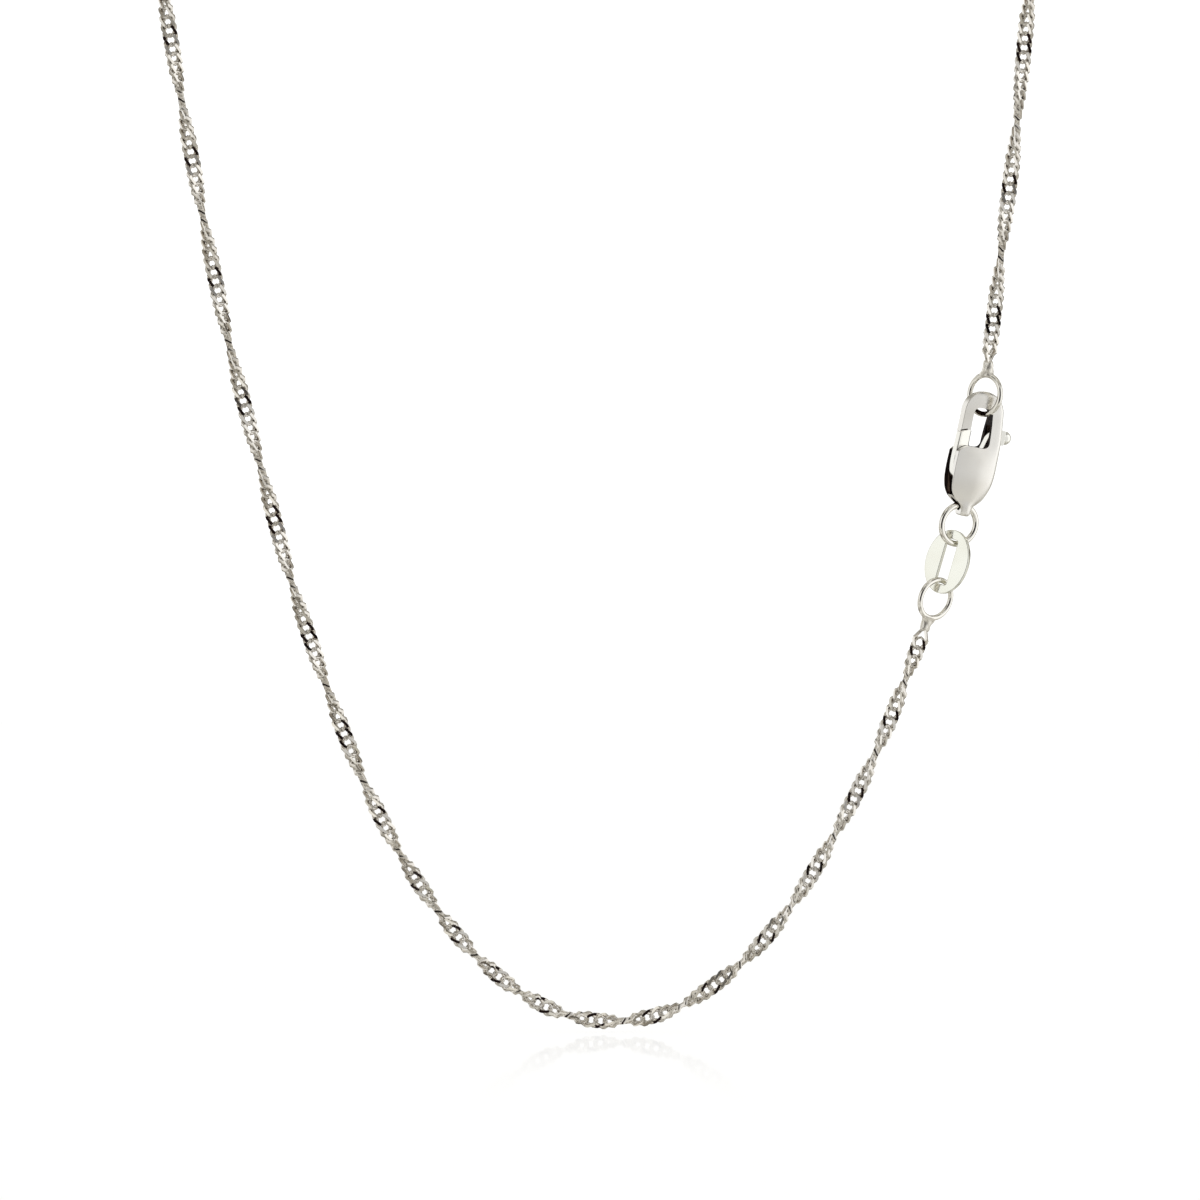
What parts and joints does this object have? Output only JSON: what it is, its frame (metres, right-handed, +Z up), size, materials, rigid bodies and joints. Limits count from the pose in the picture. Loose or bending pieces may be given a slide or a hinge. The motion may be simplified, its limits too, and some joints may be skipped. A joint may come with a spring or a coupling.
{
  "type": "singapore chain necklace",
  "caption": "Twisted curb chain necklace in white metal, closed at the front right by a lobster clasp, with an oval slotted tag between plain rings.",
  "frame": {"origin": "the middle of the chain at the nape, where the worn necklace lies on the back of the neck", "axes": "+Z up, +X to the right seen from the front, and the front of the necklace faces -Y"},
  "size_m": [0.0932, 0.0656, 0.1436],
  "materials": {
    "chain_metal": "diamond cut and polished white metal",
    "ring_metal": "polished white metal",
    "clasp_metal": "polished white metal",
    "lever_metal": "polished white metal",
    "tag_metal": "polished white metal, flat and bare"
  },
  "bodies": {
    "necklace": {"chain": "chain_metal", "hook_ring": "ring_metal", "clasp_body": "clasp_metal", "clasp_ring": "ring_metal", "tag": "tag_metal", "end_ring": "ring_metal"},
    "lever": {"clasp_lever": "lever_metal"}
  },
  "joints": [
    {"name": "lever_hinge", "type": "hinge", "parent": "necklace", "child": "lever", "pos_m": [0.03527, -0.06309, -0.09033], "axis": [-0.3357, 0.9397, 0.0653], "range_deg": [0, 22], "stiffness_Nm_per_rad": 0.005, "springref_deg": -20.05}
  ]
}
